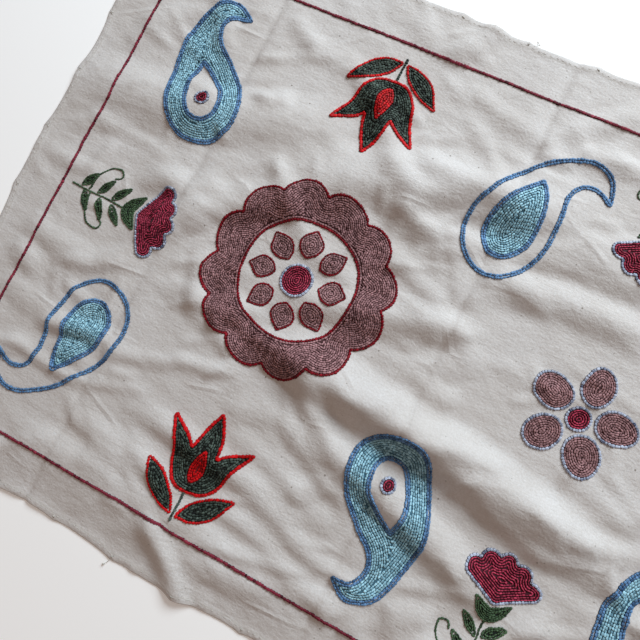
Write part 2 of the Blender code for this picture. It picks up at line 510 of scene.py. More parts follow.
# %% [markdown]
# ## The calico
#
# Unbleached cotton is a warm grey white with thicker threads here and there, dark seed flecks and finer
# specks, and a faint blotchiness from handling. The plain weave is finer than a pixel from where the
# picture was taken, so it is a gentle bump that only a closer look shows. Under the filled motifs the
# cloth is painted in the thread's dark tone, a painted shade for the gaps between the rows, so that no
# bright cotton shows there. Each point of the sheet carries how far inside a motif it is, and how far
# from the edge, so that a painted shadow can lie as a grey line along the inner fold of the hem. The
# smallest wrinkles are bumps too: soft crinkles, and a few faint straight creases where the cloth was
# gripped.

# %% Calico
CALICO_LIGHT = (0.672, 0.639, 0.622, 1)
CALICO_DARK = (0.584, 0.539, 0.509, 1)
# The darker tone of slubs; the same colour is the painted shade along the hem's inner fold.
SLUB_AND_HEM_SHADE = (0.500, 0.460, 0.415, 1)
FLECK = (0.130, 0.095, 0.065, 1)
FLECKS_PER_METRE, FLECK_RADIUS, FLECK_DEPTH = 62, 0.045, 0.70
SPECKS_PER_METRE, SPECK_RADIUS, SPECK_DEPTH = 135, 0.085, 0.42
SLUB_DEPTH, GRAIN_CONTRAST = 0.6, 2.3
# Where the painted shade along the hem's inner fold lies, and its half width.
HEM_SHADE_AT, HEM_SHADE_HALF_WIDTH = HEM_WIDTH + 0.4 * MM, 0.8 * MM
MOTIF_EDGE = 0.5 * MM

calico, tree, shader = new_material("calico", Roughness=0.93, Sheen_Weight=0.12, Sheen_Roughness=0.5)
place, along_cloth, across_cloth = coordinates(tree)

blotches = noise(tree, place, 14, detail=4, roughness=0.6)
slubs_along = noise(tree, stretched(tree, place, (28, 900, 1)), 1, detail=1)
slubs_across = noise(tree, stretched(tree, place, (900, 22, 1)), 1, detail=1)
slubs = (slubs_along - 0.62).clamped() * 4 + (slubs_across - 0.64).clamped() * 4

flecks, specks = cells(tree, place, FLECKS_PER_METRE), cells(tree, place, SPECKS_PER_METRE)
fleck_mask = (flecks < FLECK_RADIUS) * (noise(tree, place, 55, detail=0) > 0.53)
speck_mask = (specks < SPECK_RADIUS) * (noise(tree, place, 90, detail=0) > 0.50)

grain = noise(tree, place, 700, detail=2)
light_share = (blotches - 0.3) * 1.8 + (grain - 0.5) * GRAIN_CONTRAST
ground = mix(tree, light_share, CALICO_DARK, CALICO_LIGHT)
ground = mix(tree, slubs.clamped() * SLUB_DEPTH, ground, SLUB_AND_HEM_SHADE)
ground = mix(tree, fleck_mask * FLECK_DEPTH + speck_mask * SPECK_DEPTH, ground, FLECK)
from_edge = point_value(tree, "from_edge")
# Painted shade: a grey line at the hem's inner fold, where its step would throw a little shadow.
hem_fold_shade = (1 - (from_edge - HEM_SHADE_AT).size() / HEM_SHADE_HALF_WIDTH).clamped()
ground = mix(tree, hem_fold_shade * (0.25 + blotches * 0.7), ground, SLUB_AND_HEM_SHADE)
# Painted shade: under the fillings the cloth takes the thread's dark tone, for the shaded gaps between
# rows.
inside_motif = point_value(tree, "inside_motif")
shade_below = point_value(tree, "shade_below", out="Color")
ground = mix(tree, inside_motif > MOTIF_EDGE, ground, shade_below)
plug(tree, ground, shader, "Base Color")

# %% Calico's small relief
THREADS_PER_METRE = 2100
WEAVE_HEIGHT, FUZZ_HEIGHT, CRINKLE_HEIGHT, GRIP_HEIGHT = 0.00010, 0.0003, 0.0022, 0.0010
GRIP_CELLS_PER_METRE, GRIP_HALF_WIDTH = 18, 2.6 * MM

turn = 2 * math.pi * THREADS_PER_METRE
weave = (along_cloth * turn).sine() * (across_cloth * turn).sine()
fuzz = noise(tree, stretched(tree, place, (420, 560, 1)), 1, detail=3)
crinkle = noise(tree, stretched(tree, place, (52, 88, 1)), 1, detail=3, roughness=0.5)
bumps = bump(tree, weave * 0.5 + slubs * 1.5, WEAVE_HEIGHT, 0.5)
bumps = bump(tree, fuzz, FUZZ_HEIGHT, 1.0, under=bumps)
bumps = bump(tree, crinkle, CRINKLE_HEIGHT, 0.55, under=bumps)
lines = {"feature": "DISTANCE_TO_EDGE", "voronoi_dimensions": "2D"}
from_line = cells(tree, stretched(tree, place, (0.55, 1.0, 1)), GRIP_CELLS_PER_METRE, **lines)
gripped = ((noise(tree, place, 23, detail=0) - 0.55) * 6).clamped()
grip_lines = (1 - from_line / (GRIP_CELLS_PER_METRE * GRIP_HALF_WIDTH)).clamped() * gripped
bumps = bump(tree, grip_lines, GRIP_HEIGHT, 0.5, under=bumps)
plug(tree, bumps, shader, "Normal")

# %% [markdown]
# ## Drawing outlines
#
# An embroiderer draws each motif on the cloth first. Here a motif is a few closed curves through given
# points, in millimetres. A curve runs smoothly through its points, except at the ones marked as corners.

# %% Curves
DRAWN_STEP, CURVE_STEPS = 0.8 * MM, 14


def smooth_run(points):
    """A Catmull-Rom curve through points, its ends included."""
    p = np.array([2 * points[0] - points[1], *points, 2 * points[-1] - points[-2]])
    t = np.linspace(0, 1, CURVE_STEPS, endpoint=False)[:, None]
    runs = [
        0.5 * (2 * b + (c - a) * t + (2 * a - 5 * b + 4 * c - d) * t**2 + (3 * b - a - 3 * c + d) * t**3)
        for a, b, c, d in zip(p, p[1:], p[2:], p[3:])
    ]
    return np.concatenate([*runs, points[-1:]])


def smooth_loop(points, corners=()):
    """A closed curve through points. It is smooth but at the points whose numbers are corners."""
    points = np.array(points, float)
    if not corners:
        wrapped = np.concatenate([points[-3:], points, points[:3]])
        return smooth_run(wrapped)[3 * CURVE_STEPS : (3 + len(points)) * CURVE_STEPS]
    rolled = np.roll(points, -corners[0], axis=0)
    cuts = [corner - corners[0] for corner in corners] + [len(points)]
    rolled = np.concatenate([rolled, rolled[:1]])
    return np.concatenate([smooth_run(rolled[a : b + 1])[:-1] for a, b in zip(cuts, cuts[1:])])


def evenly(points, step, closed):
    """Points at even steps along a line, with the number of steps rounded to fit."""
    line = np.concatenate([points, points[:1]]) if closed else points
    lengths = np.linalg.norm(np.diff(line, axis=0), axis=1)
    along = np.concatenate([[0], np.cumsum(lengths)])
    count = max(1, round(along[-1] / step))
    stops = np.linspace(0, along[-1], count + 1)
    return np.stack([np.interp(stops, along, line[:, k]) for k in (0, 1)], axis=1)


def ring(radius, squash=1.0, points=40):
    angles = np.linspace(0, 2 * math.pi, points, endpoint=False)
    return np.stack([radius * np.cos(angles), radius * squash * np.sin(angles)], axis=1)


def moved(points, x=0.0, y=0.0, turn=0.0, size=1.0):
    """Points turned by degrees about the origin, then scaled and moved."""
    c, s = math.cos(math.radians(turn)), math.sin(math.radians(turn))
    return np.asarray(points) @ np.array(((c, s), (-s, c))) * size + (x, y)


# %% [markdown]
# ## Rows of a filled motif
#
# A filled motif is worked from its outline inwards: each row follows the one outside it, until the middle
# is full. To find a row, every point of the outline moves inwards by the row's depth, and the points that
# came too near to another part of the outline are dropped. What is left are one or more runs of stitches.
# Narrow tips that the first row doesn't reach get a short row of their own.

# %% Rows that follow an outline
FAN_STEP = math.radians(4)
TIP_SHARE, TIP_LENGTH, TIP_GAP = 0.6, 2.4 * MM, 1.5
ROW_GAP, HOLE_ROOM = 2.0, 0.72
NEAR_ENOUGH = 0.15 * MM


def turned_left(outline):
    """The outline in the direction that keeps its inside on the left."""
    x, y = outline[:, 0], outline[:, 1]
    area = (x * np.roll(y, -1) - np.roll(x, -1) * y).sum() / 2
    return outline if area > 0 else outline[::-1]


def nearest_distance(points, line, batch=600):
    """How far each of many points is from the nearest point of a line."""
    parts = [points[k : k + batch] for k in range(0, len(points), batch)]
    return np.concatenate([np.sqrt(((part[:, None] - line) ** 2).sum(2).min(1)) for part in parts])


def is_inside(points, outline):
    """Whether each point lies inside a closed outline, by counting the sides that a ray crosses."""
    a, b = outline, np.roll(outline, -1, axis=0)
    x, y = points[:, :1], points[:, 1:]
    spans = (a[:, 1] > y) != (b[:, 1] > y)
    slope = (b[:, 0] - a[:, 0]) / np.where(b[:, 1] == a[:, 1], 1e-12, b[:, 1] - a[:, 1])
    return ((spans & (x < a[:, 0] + (y - a[:, 1]) * slope)).sum(1) % 2) == 1


# %% Runs of stitches


def split_runs(points, order, count, gap):
    """Runs of points that follow each other, each with a flag that says whether it closes on itself."""
    steps = np.linalg.norm(np.roll(points, -1, axis=0) - points, axis=1)
    follows = (np.roll(order, -1) - order) % count == 1
    breaks = np.flatnonzero(~(follows | (steps < gap)))
    if not len(breaks):
        return [(points, True)]
    rolled = np.roll(points, -(breaks[0] + 1), axis=0)
    cuts = np.concatenate([[0], (breaks - breaks[0])[1:], [len(points)]])
    return [(rolled[a:b], False) for a, b in zip(cuts, cuts[1:]) if b - a > 1]


def fanned(outline):
    """Points of an outline with their inward directions, in a fan wherever it turns sharply outwards."""
    ahead = np.roll(outline, -1, axis=0) - outline
    after = np.arctan2(ahead[:, 1], ahead[:, 0])
    before = np.roll(after, 1)
    bend = (after - before + math.pi) % (2 * math.pi) - math.pi
    copies = np.where(bend < 0, np.ceil(-bend / FAN_STEP), 1).astype(int).clip(1)
    which = np.repeat(np.arange(len(outline)), copies)
    first_copy = np.concatenate([[0], np.cumsum(copies)[:-1]])
    share = (np.arange(len(which)) - first_copy[which] + 0.5) / copies[which]
    heading = before[which] + bend[which] * share
    return outline[which], np.stack([-np.sin(heading), np.cos(heading)], axis=1)


# %% All rows of one shape


def inward_rows(outline, spacing, first, hole=None):
    """Every run of stitches that fills an outline, from its rim inwards, round a hole if it has one."""
    outline = turned_left(outline)
    origins, inwards = fanned(outline)
    rows, depth = [], first

    shallow = first * TIP_SHARE
    at_first = nearest_distance(origins + inwards * first, outline) > first - NEAR_ENOUGH
    in_tip = origins + inwards * shallow
    kept = ~at_first & (nearest_distance(in_tip, outline) > shallow - NEAR_ENOUGH)
    if kept.sum() > 1:
        tips = split_runs(in_tip[kept], np.flatnonzero(kept), len(origins), TIP_GAP * spacing)
        rows += [(run, False) for run, closed in tips if len(run) * DRAWN_STEP > TIP_LENGTH]
    if hole is not None:
        hole = turned_left(hole)
        starts, outwards = fanned(hole[::-1])
        round_hole = starts + outwards * first
        clear = nearest_distance(round_hole, hole) > first - NEAR_ENOUGH
        clear &= is_inside(round_hole, outline)
        rows += split_runs(round_hole[clear], np.flatnonzero(clear), len(starts), ROW_GAP * spacing)
    while True:
        shifted = origins + inwards * depth
        kept = nearest_distance(shifted, outline) > depth - NEAR_ENOUGH
        if hole is not None:
            kept &= nearest_distance(shifted, hole) > first + HOLE_ROOM * spacing
            kept &= ~is_inside(shifted, hole)
        if kept.sum() < 2:
            return rows
        rows += split_runs(shifted[kept], np.flatnonzero(kept), len(origins), ROW_GAP * spacing)
        depth += spacing


# %% [markdown]
# ## One chain stitch
#
# A chain stitch is a loop of thread held down at its tip by the next loop. Seen from above it is a drop
# with a dent along its middle: narrow where it comes up through the loop before, widest near its tip.
# Twelve to seventeen points are enough for each, and their heights catch the light as the thread does.
# Each point also carries a crest share, which paints a highlight on the crests and shade in the dents.

# %% The loop's form
LoopStation = namedtuple("LoopStation", "along half_width edge crest dent")
FILL_LOOP = (
    LoopStation(-0.26, 0.00, 0.50, 0.50, 0.50),
    LoopStation(0.10, 0.80, 0.10, 0.90, 0.62),
    LoopStation(0.66, 1.00, 0.10, 1.00, 0.55),
    LoopStation(1.14, 0.00, 0.48, 0.48, 0.48),
)
LINE_LOOP = (
    LoopStation(-0.28, 0.00, 0.45, 0.45, 0.45),
    LoopStation(0.05, 0.70, 0.10, 0.86, 0.55),
    LoopStation(0.55, 1.00, 0.10, 1.00, 0.48),
    LoopStation(0.92, 0.82, 0.10, 0.92, 0.62),
    LoopStation(1.16, 0.00, 0.42, 0.42, 0.42),
)
PLUMP_LOOP = (
    LoopStation(-0.26, 0.00, 0.50, 0.50, 0.50),
    LoopStation(0.10, 0.80, 0.10, 0.72, 0.90),
    LoopStation(0.66, 1.00, 0.10, 0.78, 1.00),
    LoopStation(1.14, 0.00, 0.48, 0.48, 0.48),
)
BACK_LOOP = (
    LoopStation(-0.04, 0.00, 0.00, 0.00, 0.00),
    LoopStation(0.50, 1.00, 0.00, 1.00, 1.00),
    LoopStation(1.04, 0.00, 0.00, 0.00, 0.00),
)
ACROSS = (-1.0, -0.52, 0.0, 0.52, 1.0)


def loop_form(stations):
    """Points (along, across, up), crest shares and triangles of one loop, closed underneath."""
    points = [(stations[0].along, 0.0, stations[0].crest)]
    crests = [0.0]
    wide = 3 if stations is BACK_LOOP else len(ACROSS)
    across = ACROSS[:: (len(ACROSS) - 1) // (wide - 1)]
    for s in stations[1:-1]:
        heights = (s.edge, s.dent, s.edge) if wide == 3 else (s.edge, s.crest, s.dent, s.crest, s.edge)
        points += [(s.along, side * s.half_width, height) for side, height in zip(across, heights)]
        shares = [(height - s.edge) / (max(heights) - s.edge + 1e-6) for height in heights]
        # Crest shares: where the thread's colour gets its painted highlight (near 1) and painted shade
        # (near 0).
        crests += [share * share for share in shares]
    points.append((stations[-1].along, 0.0, stations[-1].crest))
    crests.append(0.3)

    head = len(points) - 1
    rows = [range(1 + wide * k, 1 + wide * (k + 1)) for k in range(len(stations) - 2)]
    triangles = [(0, rows[0][k], rows[0][k + 1]) for k in range(wide - 1)]
    for a, b in zip(rows, rows[1:]):
        for k in range(wide - 1):
            triangles += [(a[k], b[k], b[k + 1]), (a[k], b[k + 1], a[k + 1])]
        triangles += [(a[0], a[-1], b[-1]), (a[0], b[-1], b[0])]
    triangles += [(rows[-1][k], head, rows[-1][k + 1]) for k in range(wide - 1)]
    triangles += [(0, rows[0][-1], rows[0][0]), (rows[-1][0], rows[-1][-1], head)]
    return np.array(points), np.array(crests), np.array(triangles)


# %% [markdown]
# ## Laying thread on the cloth
#
# Every stitch is drawn on the flat cut and then carried to where that bit of cloth lies. The grid of the
# sheet knows where each (u, v) went, and which way its surface faces, so a stitch follows every fold.

# %% From the flat cut to the folded cloth


def facing(points, upwards):
    """The direction that the surface faces at each point of a grid."""
    out = np.cross(np.gradient(points, axis=0), np.gradient(points, axis=1))
    out /= np.linalg.norm(out, axis=2, keepdims=True)
    return out if upwards else -out


SIDES = {"face": (face, facing(face, True)), "back": (under, facing(under, False))}


def on_cloth(flat_points, height, side):
    """Points of the flat cut, carried to the folded cloth and lifted off it by height."""
    points, normals = SIDES[side]
    i = np.clip(np.searchsorted(lines_u, flat_points[:, 0]) - 1, 0, len(lines_u) - 2)
    j = np.clip(np.searchsorted(lines_v, flat_points[:, 1]) - 1, 0, len(lines_v) - 2)
    s = ((flat_points[:, 0] - lines_u[i]) / (lines_u[i + 1] - lines_u[i]))[:, None]
    t = ((flat_points[:, 1] - lines_v[j]) / (lines_v[j + 1] - lines_v[j]))[:, None]

    def blended(grid):
        near_side = grid[i, j] * (1 - s) + grid[i + 1, j] * s
        far_side = grid[i, j + 1] * (1 - s) + grid[i + 1, j + 1] * s
        return near_side * (1 - t) + far_side * t

    return blended(points) + blended(normals) * height[:, None]


# %% Sewing
Thread = namedtuple("Thread", "pitch half_width height loop")
UNEVEN_STEP, LARGEST_SLIP = 0.13, 0.3
SWAY = 0.11 * MM
WIDTH_SPREAD, HEIGHT_SPREAD, TINT_SPREAD = 0.09, 0.12, 0.22
WIDEST_SHARE = 0.9


def by_hand(points, pitch, closed):
    """Where the needle goes in along a line: nearly even steps, from anywhere on it if it is closed."""
    if closed:
        points = np.roll(points, rng.integers(len(points)), axis=0)
    stops = evenly(points, pitch, closed)
    slips = rng.normal(0, UNEVEN_STEP, (len(stops), 1)).clip(-LARGEST_SLIP, LARGEST_SLIP)
    slips[[0, -1]] = 0
    return stops + slips * np.gradient(stops, axis=0)


def sew(name, runs, thread, material, side="face"):
    """One piece with a loop for every stitch of the runs, each a pair of points and a closed flag."""
    starts, ends = [], []
    for points, closed in runs:
        stops = by_hand(points, thread.pitch, closed)
        starts.append(stops[:-1])
        ends.append(stops[1:])
    starts, ends = np.concatenate(starts), np.concatenate(ends)
    count = len(starts)
    form, crests, triangles = loop_form(thread.loop)

    sway = rng.normal(0, SWAY, (count, 2))
    widths = thread.half_width * rng.normal(1, WIDTH_SPREAD, count)
    heights = thread.height * rng.normal(1, HEIGHT_SPREAD, count)
    ahead = ends - starts
    lengths = np.linalg.norm(ahead, axis=1, keepdims=True) + 1e-9
    left = np.stack([-ahead[:, 1], ahead[:, 0]], axis=1) / lengths
    widths = np.minimum(widths, lengths[:, 0] * WIDEST_SHARE)
    flat = (
        (starts + sway)[:, None]
        + ahead[:, None] * form[None, :, :1]
        + left[:, None] * (form[None, :, 1:2] * widths[:, None, None])
    )
    up = heights[:, None] * form[None, :, 2]
    points = on_cloth(flat.reshape(-1, 2), up.ravel(), side)
    if side == "back":
        triangles = triangles[:, ::-1]
    corners = (triangles[None] + (np.arange(count) * len(form))[:, None, None]).reshape(-1, 3)
    tints = np.repeat(np.clip(rng.normal(0.5, TINT_SPREAD, count), 0, 1), len(form))
    values = [("crest", "FLOAT", np.tile(crests, count)), ("tint", "FLOAT", tints)]
    piece = mesh_piece(name, points, corners, material, values)
    print(f"{name}: {count} stitches, {len(corners)} triangles")
    return piece


# %% [markdown]
# ## Thread colours
#
# The thread is soft cotton with a slight gloss. Each colour runs from a dark tone in the dents between
# the strands to a light one on their crests: painted shade in the dents and a painted highlight on the
# crests, with the thread's own colour between them. Every stitch is a little lighter or darker than the
# next, as hand dyed thread is. Lift is how light a colour is in its dents. The twist of the plies is a
# fine slanting bump.

# %% Threads
PLIES_PER_METRE, PLY_HEIGHT, PLY_SLANT = 1150, 0.00006, 0.6
CREST_SHARE, TINT_SHARE, PATCH_SHARE = 0.75, 0.85, 0.5
# dark is the painted shade of the dents, light the crests' tone with a painted highlight; the thread's own
# colour lies between.
ThreadColour = namedtuple("ThreadColour", "name dark light gloss lift", defaults=(0.10,))
THREADS = (
    ThreadColour("sky_blue", (0.050, 0.140, 0.200, 1), (0.500, 0.830, 0.960, 1), 0.55),
    ThreadColour("deep_blue", (0.010, 0.034, 0.100, 1), (0.185, 0.360, 0.620, 1), 0.55),
    ThreadColour("mauve", (0.060, 0.017, 0.019, 1), (0.530, 0.285, 0.295, 1), 0.60),
    ThreadColour("pale_mauve", (0.072, 0.026, 0.028, 1), (0.525, 0.290, 0.300, 1), 0.60),
    ThreadColour("dark_red", (0.060, 0.001, 0.003, 1), (0.300, 0.006, 0.017, 1), 0.55),
    ThreadColour("bright_red", (0.210, 0.001, 0.002, 1), (0.750, 0.006, 0.010, 1), 0.50),
    ThreadColour("crimson", (0.055, 0.003, 0.010, 1), (0.600, 0.062, 0.125, 1), 0.50),
    ThreadColour("bottle_green", (0.001, 0.002, 0.001, 1), (0.150, 0.200, 0.166, 1), 0.60, -0.12),
    ThreadColour("leaf_green", (0.002, 0.006, 0.003, 1), (0.098, 0.168, 0.085, 1), 0.60),
    ThreadColour("pale_blue", (0.026, 0.036, 0.095, 1), (0.600, 0.650, 0.790, 1), 0.55),
    ThreadColour("madder", (0.030, 0.001, 0.006, 1), (0.340, 0.042, 0.072, 1), 0.55),
)


def thread_material(colour):
    material, tree, shader = new_material(colour.name, Roughness=colour.gloss, Specular_IOR_Level=0.16)
    place, along, across = coordinates(tree)
    crest, tint = point_value(tree, "crest"), point_value(tree, "tint")
    patch = noise(tree, place, 45, detail=2)
    # Painted shade in the dents and a painted highlight on the crests, varied by each stitch's own tone.
    share = crest * CREST_SHARE + (tint - 0.5) * TINT_SHARE + (patch - 0.5) * PATCH_SHARE + colour.lift
    plug(tree, mix(tree, share, colour.dark, colour.light), shader, "Base Color")
    slant = (along + across * PLY_SLANT) * (2 * math.pi * PLIES_PER_METRE)
    plug(tree, bump(tree, slant.sine(), PLY_HEIGHT, 0.5), shader, "Normal")
    return material


thread_of = {colour.name: thread_material(colour) for colour in THREADS}
# Each thread's dark tone, its painted shade, which also goes under its fillings.
dark_of = {colour.name: colour.dark for colour in THREADS}

# %% [markdown]
# ## The motifs
#
# Each motif is a list of worked shapes, drawn upright with its foot or its middle at the origin. A shape
# names its outline, the thread that fills it if any, the thread of its line and what kind of line that
# is: bold, thin, a fine stem, or double, which is two thin lines side by side. Rows of filling are
# finest in leaf green, and stand a little apart in crimson.

# %% Kinds of line and of filling
Line = namedtuple("Line", "thread sides room")
LINES = {
    "bold": Line(Thread(2.7 * MM, 1.60 * MM, 1.30 * MM, LINE_LOOP), (0.0,), 2.2 * MM),
    "thin": Line(Thread(2.3 * MM, 1.25 * MM, 1.15 * MM, FILL_LOOP), (0.0,), 1.8 * MM),
    "stem": Line(Thread(2.2 * MM, 0.92 * MM, 0.95 * MM, FILL_LOOP), (0.0,), 1.5 * MM),
    "double": Line(Thread(2.3 * MM, 1.12 * MM, 1.15 * MM, FILL_LOOP), (-1.0 * MM, 1.0 * MM), 2.8 * MM),
    "border": Line(Thread(2.4 * MM, 1.40 * MM, 1.20 * MM, LINE_LOOP), (0.0,), 0.0),
}
Filling = namedtuple("Filling", "thread spacing")
FILLINGS = {
    "plain": Filling(Thread(2.35 * MM, 0.93 * MM, 0.95 * MM, FILL_LOOP), 1.78 * MM),
    "close": Filling(Thread(2.20 * MM, 0.86 * MM, 0.90 * MM, FILL_LOOP), 1.64 * MM),
    "fine": Filling(Thread(2.10 * MM, 0.76 * MM, 0.95 * MM, PLUMP_LOOP), 1.42 * MM),
    "ringed": Filling(Thread(2.30 * MM, 0.74 * MM, 1.00 * MM, PLUMP_LOOP), 1.74 * MM),
}
FILLING_OF = {"crimson": "ringed", "leaf_green": "fine", "mauve": "close", "pale_mauve": "close"}

# %% Worked shapes
Shape = namedtuple("Shape", "outline fill line kind closed hole", defaults=(True, None))

# %% Rosette
SCALLOPS, PETALS = 12, 8
ROSETTE_REACH, SCALLOP_DEPTH, SCALLOP_ROUNDING = 71, 9, 0.75
WINDOW_REACH = 49


def rosette():
    """Scalloped disc, eight petals on open cloth inside a ring, and a round heart."""
    angles = np.linspace(0, 2 * math.pi, 480, endpoint=False)
    reach = ROSETTE_REACH + SCALLOP_DEPTH * np.abs(np.sin(angles * SCALLOPS / 2)) ** SCALLOP_ROUNDING
    rim = np.stack([reach * np.cos(angles), reach * np.sin(angles)], axis=1)
    petal = smooth_loop([(0, 20), (7, 25), (9, 34), (0, 44), (-9, 34), (-7, 25)], corners=(0, 3))
    window = ring(WINDOW_REACH, points=120)
    shapes = [
        Shape(rim, "mauve", "dark_red", "thin", hole=window),
        Shape(window, None, "dark_red", "thin"),
    ]
    for k in range(PETALS):
        shapes.append(Shape(moved(petal, turn=360 / PETALS * k), "pale_mauve", "dark_red", "stem"))
    shapes.append(Shape(ring(13.5), "crimson", "pale_blue", "thin"))
    return shapes


# %% Almonds
ALMOND_RIGHT = [(0, -62), (20, -56), (30, -38), (29, -14), (20, 8), (12, 26), (13, 41), (23, 49)]
ALMOND_LEFT = [(37, 46), (25, 62), (6, 61), (-10, 46), (-23, 24), (-31, -4), (-31, -32), (-20, -54)]
ALMOND_BODY = smooth_loop(ALMOND_RIGHT + ALMOND_LEFT, corners=(len(ALMOND_RIGHT),))


def almond():
    """A bent almond with a window of open cloth in it and a round spot in the window."""
    right, left = [(0, -43), (12, -37), (15, -20), (7, -4)], [(-4, 12), (-13, -4), (-15, -22), (-11, -37)]
    window = smooth_loop(right + left, corners=(len(right),))
    return [
        Shape(ALMOND_BODY, "sky_blue", "deep_blue", "double", hole=window),
        Shape(window, None, "deep_blue", "double"),
        Shape(moved(ring(5.6), y=-24), "crimson", "pale_blue", "thin"),
    ]


def almond_line():
    """The same almond with a filled middle, and its rim left as a line."""
    right = [(0, -46), (13, -39), (17, -22), (10, -2), (1, 14)]
    left = [(-9, 22), (-17, 0), (-18, -24), (-12, -39)]
    middle = smooth_loop(right + left, corners=(len(right),))
    return [
        Shape(ALMOND_BODY, None, "deep_blue", "double"),
        Shape(middle, "sky_blue", "deep_blue", "double"),
    ]


# %% Tulip


def tulip():
    """A tulip with three points on a short stem, between two leaves."""
    right = [(0, 22), (13, 25), (23, 37), (27, 54), (36, 72), (19, 63), (11, 55), (8, 72)]
    left = [(0, 90), (-8, 72), (-11, 55), (-19, 63), (-36, 72), (-27, 54), (-23, 37), (-13, 25)]
    cup = smooth_loop(right + left, corners=(4, 6, 8, 10, 12))
    leaf = smooth_loop([(2, 4), (16, 6), (30, 16), (40, 34), (24, 28), (10, 17)], corners=(0, 3))
    mirrored = leaf[::-1] * (-1, 1)
    heart = smooth_loop([(0, 30), (5, 38), (4, 48), (0, 58), (-4, 48), (-5, 38)], corners=(3,))
    return [
        Shape(np.array([(0, 0), (0, 22)], float), None, "bottle_green", "thin", closed=False),
        Shape(leaf, "bottle_green", "bright_red", "thin"),
        Shape(mirrored, "bottle_green", "bright_red", "thin"),
        Shape(cup, "bottle_green", "bright_red", "bold", hole=heart),
        Shape(heart, "bright_red", "bright_red", "thin"),
    ]


# %% Carnation
FAN_FOOT = 68
FAN_REACH, FAN_SCALLOP_DEPTH = 33, 5
FAN_SCALLOPS = 5
FAN_SPREAD = math.radians(64)
STEM = ((0, 0), (0.6, 18), (-0.5, 36), (0, 54))
Leaf = namedtuple("Leaf", "x y turn")
LEAVES = (
    Leaf(-1.5, 9, 58),
    Leaf(1.5, 13, -55),
    Leaf(-1.5, 25, 54),
    Leaf(1.5, 29, -57),
    Leaf(-1.5, 41, 50),
    Leaf(1.5, 43, -48),
)
TENDRILS = (
    ((1, 19), (14, 22), (25, 30), (27, 40), (20, 42), (18, 37)),
    ((-1, 17), (-15, 19), (-26, 27), (-28, 37), (-22, 40), (-19, 35)),
)


def carnation():
    """A fan with five scallops in a green cup, on a stem with pairs of leaves and two tendrils."""
    share = np.linspace(0, 1, 161)
    angles = math.pi / 2 + FAN_SPREAD * (2 * share - 1)
    swell = np.abs(np.sin(share * math.pi * FAN_SCALLOPS)) ** SCALLOP_ROUNDING
    reach = FAN_REACH + FAN_SCALLOP_DEPTH * swell
    rim = np.stack([reach * np.cos(angles), reach * np.sin(angles)], axis=1)
    fan = np.concatenate([rim, [(0, 0)]]) + (0, FAN_FOOT)
    right, left = [(0, 54), (9, 59), (15, 71), (7, 67.5)], [(0, 64.5), (-7, 67.5), (-15, 71), (-9, 59)]
    cup = smooth_loop(right + left, corners=(2, 6))
    half = [(0, 0), (2.6, 5.5), (3.0, 10), (1.7, 16)]
    leaf = smooth_loop(half + [(0, 20)] + [(-x, y) for x, y in half[:0:-1]], corners=(0, len(half)))
    lines = [np.array(row, float) for row in (STEM, *TENDRILS)]
    shapes = [Shape(smooth_run(line), None, "leaf_green", "stem", closed=False) for line in lines]
    shapes += [Shape(moved(leaf, *row), "leaf_green", "leaf_green", "stem") for row in LEAVES]
    shapes.append(Shape(cup, "leaf_green", "leaf_green", "stem"))
    return shapes + [Shape(fan, "crimson", "pale_blue", "thin")]


# %% Flower of ovals
OVALS = 5


def oval_flower():
    """Five ovals round a round spot."""
    oval = moved(ring(15.5, squash=0.80), x=27)
    shapes = [
        Shape(moved(oval, turn=360 / OVALS * k), "pale_mauve", "pale_blue", "thin") for k in range(OVALS)
    ]
    return shapes + [Shape(ring(8.0), "crimson", "pale_blue", "thin")]


# %% All motifs
MOTIFS = {
    "rosette": rosette,
    "almond": almond,
    "almond_line": almond_line,
    "tulip": tulip,
    "carnation": carnation,
    "oval_flower": oval_flower,
}

# %% [markdown]
# ## Drawn by hand
#
# No two motifs drawn by hand are the same. Before it is sewn, each outline is put in its place and then
# bent by a slow wave across the whole cloth, a millimetre or so either way.

# %% Put every shape in its place
HAND_WANDER = 1.3 * MM


def drawn_by_hand(points, wander=HAND_WANDER):
    """The points bent by slow waves. The waves' lengths have no common measure, so none of it repeats."""
    x, y = points[:, 0], points[:, 1]
    shift_x = np.sin(71 * y + 2.1 * np.sin(38 * x)) + 0.5 * np.sin(173 * x + 90 * y)
    shift_y = np.sin(64 * x + 1.7 * np.sin(45 * y)) + 0.5 * np.sin(151 * y - 80 * x)
    return points + wander * 0.6 * np.stack([shift_x, shift_y], axis=1)


def placed(outline, row):
    return drawn_by_hand(moved(outline * MM, row.x, row.y, row.turn, row.size))


def beside(line, gap, closed):
    """A line that keeps a gap to the left of another."""
    wrapped = np.concatenate([line[-1:], line, line[:1]]) if closed else line
    ahead = np.gradient(wrapped, axis=0)[1:-1] if closed else np.gradient(wrapped, axis=0)
    ahead /= np.linalg.norm(ahead, axis=1, keepdims=True)
    return line + gap * np.stack([-ahead[:, 1], ahead[:, 0]], axis=1)


fill_runs, line_runs, filled = {}, {}, []
for row in LAYOUT:
    for shape in MOTIFS[row.motif]():
        outline = evenly(placed(shape.outline, row), DRAWN_STEP, shape.closed)
        outline = outline[:-1] if shape.closed else outline
        hole = None if shape.hole is None else placed(shape.hole, row)
        line = LINES[shape.kind]
        runs = line_runs.setdefault((shape.line, shape.kind), [])
        runs += [(beside(outline, gap, shape.closed), shape.closed) for gap in line.sides]
        if shape.fill:
            filling = FILLINGS[FILLING_OF.get(shape.fill, "plain")]
            rows = inward_rows(outline, filling.spacing, line.room, hole)
            fill_runs.setdefault(shape.fill, []).extend(rows)
            filled.append((outline, hole, dark_of[shape.fill]))
print("filled shapes", len(filled))

